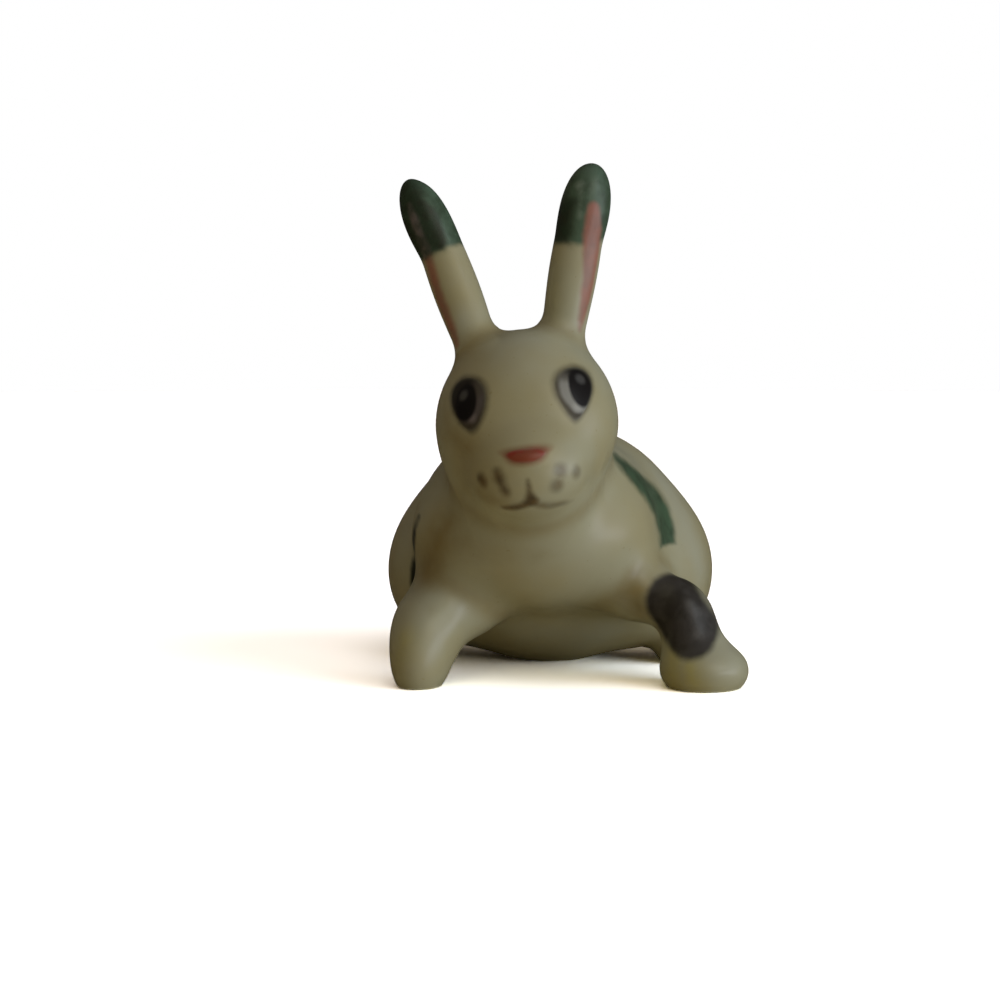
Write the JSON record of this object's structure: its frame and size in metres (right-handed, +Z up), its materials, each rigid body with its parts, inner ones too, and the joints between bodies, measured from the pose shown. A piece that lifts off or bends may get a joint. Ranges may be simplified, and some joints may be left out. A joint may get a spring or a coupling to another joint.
{
  "type": "rabbit figurine",
  "caption": "Glazed ceramic rabbit miniature lying on its belly, head and ears up, front legs spread, with painted markings.",
  "frame": {"origin": "middle of the bounding box, on the plane that the belly, the paws and the hind feet rest on", "axes": "+Z up, the rabbit looks along -Y, its left side is +X"},
  "size_m": [0.0232, 0.029, 0.0301],
  "materials": {
    "ivory_glaze": "clear gloss glaze over ivory clay",
    "black_enamel": "glossy black enamel",
    "red_enamel": "glossy brick-red enamel"
  },
  "bodies": {
    "root": {"torso": "ivory_glaze", "head": "ivory_glaze", "ear_left": "ivory_glaze", "ear_right": "ivory_glaze", "foreleg_left": "ivory_glaze", "foreleg_right": "ivory_glaze", "haunch_left": "ivory_glaze", "haunch_right": "ivory_glaze", "hind_foot_left": "ivory_glaze", "hind_foot_right": "ivory_glaze", "tail": "ivory_glaze", "eye_enamel_left": "black_enamel", "eye_enamel_right": "black_enamel", "nose_enamel": "red_enamel"}
  },
  "joints": []
}
